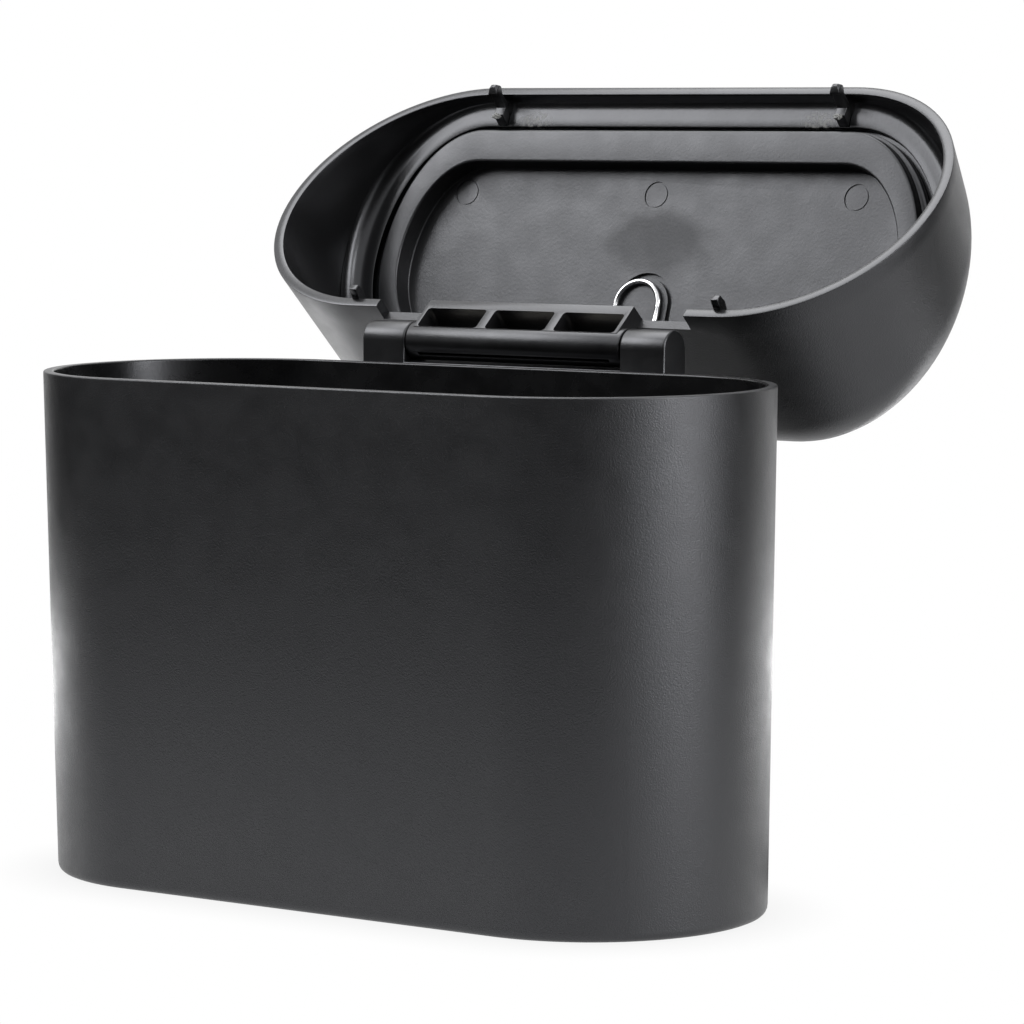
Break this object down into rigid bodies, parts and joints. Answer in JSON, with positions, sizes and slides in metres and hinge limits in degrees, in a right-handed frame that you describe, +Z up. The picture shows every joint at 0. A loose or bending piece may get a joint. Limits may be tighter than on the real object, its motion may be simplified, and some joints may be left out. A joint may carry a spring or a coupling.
{
  "type": "car trash bin",
  "caption": "Oblong plastic car trash bin with a hinged hood lid that holds a sprung inward-opening push flap; lid shown standing open.",
  "frame": {"origin": "centre of the bin's underside, on the surface it stands on", "axes": "+X along the bin's long side, +Y towards the hinge side, +Z up; -Y is the latch side"},
  "size_m": [0.2, 0.1715, 0.1959],
  "materials": {
    "body_plastic": "finely textured black, moulded",
    "lid_plastic": "black, textured outside, satin inside",
    "flap_plastic": "black, satin",
    "pin_steel": "drawn steel",
    "spring_wire": "bright plated spring wire"
  },
  "bodies": {
    "bin": {"bin_body": "body_plastic", "lid_hinge_pin": "pin_steel"},
    "lid": {"lid_hood": "lid_plastic", "flap_frame": "lid_plastic", "latch_hook_left": "lid_plastic", "latch_hook_right": "lid_plastic", "flap_pivot_rod": "pin_steel", "flap_spring": "spring_wire"},
    "flap": {"push_flap": "flap_plastic"}
  },
  "joints": [
    {"name": "lid_hinge", "type": "hinge", "parent": "bin", "child": "lid", "pos_m": [0, 0.051, 0.1308], "axis": [1, 0, 0], "range_deg": [0, 140.5]},
    {"name": "flap_hinge", "type": "hinge", "parent": "lid", "child": "flap", "pos_m": [0, 0.09095, 0.11402], "axis": [1, 0, 0], "range_deg": [0, 45], "stiffness_Nm_per_rad": 0.02, "springref_deg": -34.38, "deforming": ["flap_spring"]}
  ]
}
